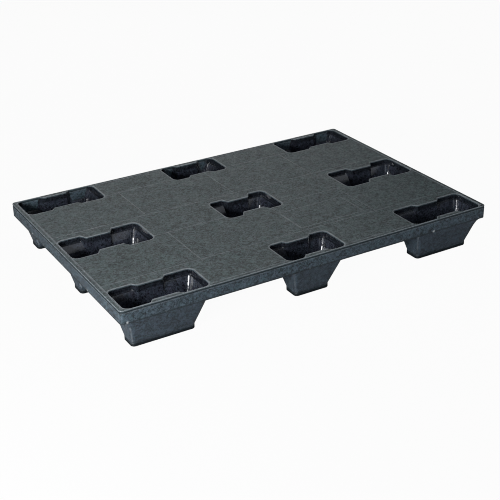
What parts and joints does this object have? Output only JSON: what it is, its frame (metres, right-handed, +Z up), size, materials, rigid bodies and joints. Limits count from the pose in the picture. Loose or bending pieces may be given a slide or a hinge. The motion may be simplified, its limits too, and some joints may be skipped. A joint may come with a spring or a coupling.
{
  "type": "plastic pallet",
  "caption": "Nestable closed-deck plastic pallet with an edge skirt, tapered hollow feet open from the top and a ribbed underside.",
  "frame": {"origin": "on the floor, under the middle of the pallet's footprint", "axes": "+X along the 1200 mm side, +Y towards the back long edge, +Z up"},
  "size_m": [1.2, 0.8, 0.135],
  "materials": {
    "deck": "fine-grained matte black-grey polyolefin, light mould texture, faint scuffs and insert lines",
    "skirt": "satin black-grey moulded polyolefin, slightly bluish, smoother than the deck",
    "feet": "smooth black moulded polyolefin, glossier inside the cups",
    "ribs": "plain moulded black underside, satin"
  },
  "bodies": {
    "root": {"deck_panel": "deck", "skirt_front": "skirt", "skirt_back": "skirt", "skirt_left": "skirt", "skirt_right": "skirt", "foot_front_left": "feet", "foot_front_centre": "feet", "foot_front_right": "feet", "foot_middle_left": "feet", "foot_middle_centre": "feet", "foot_middle_right": "feet", "foot_back_left": "feet", "foot_back_centre": "feet", "foot_back_right": "feet", "ribs_front_band": "ribs", "ribs_back_band": "ribs", "ribs_front_row_left": "ribs", "ribs_front_row_right": "ribs", "ribs_middle_row_left": "ribs", "ribs_middle_row_right": "ribs", "ribs_back_row_left": "ribs", "ribs_back_row_right": "ribs"}
  },
  "joints": []
}
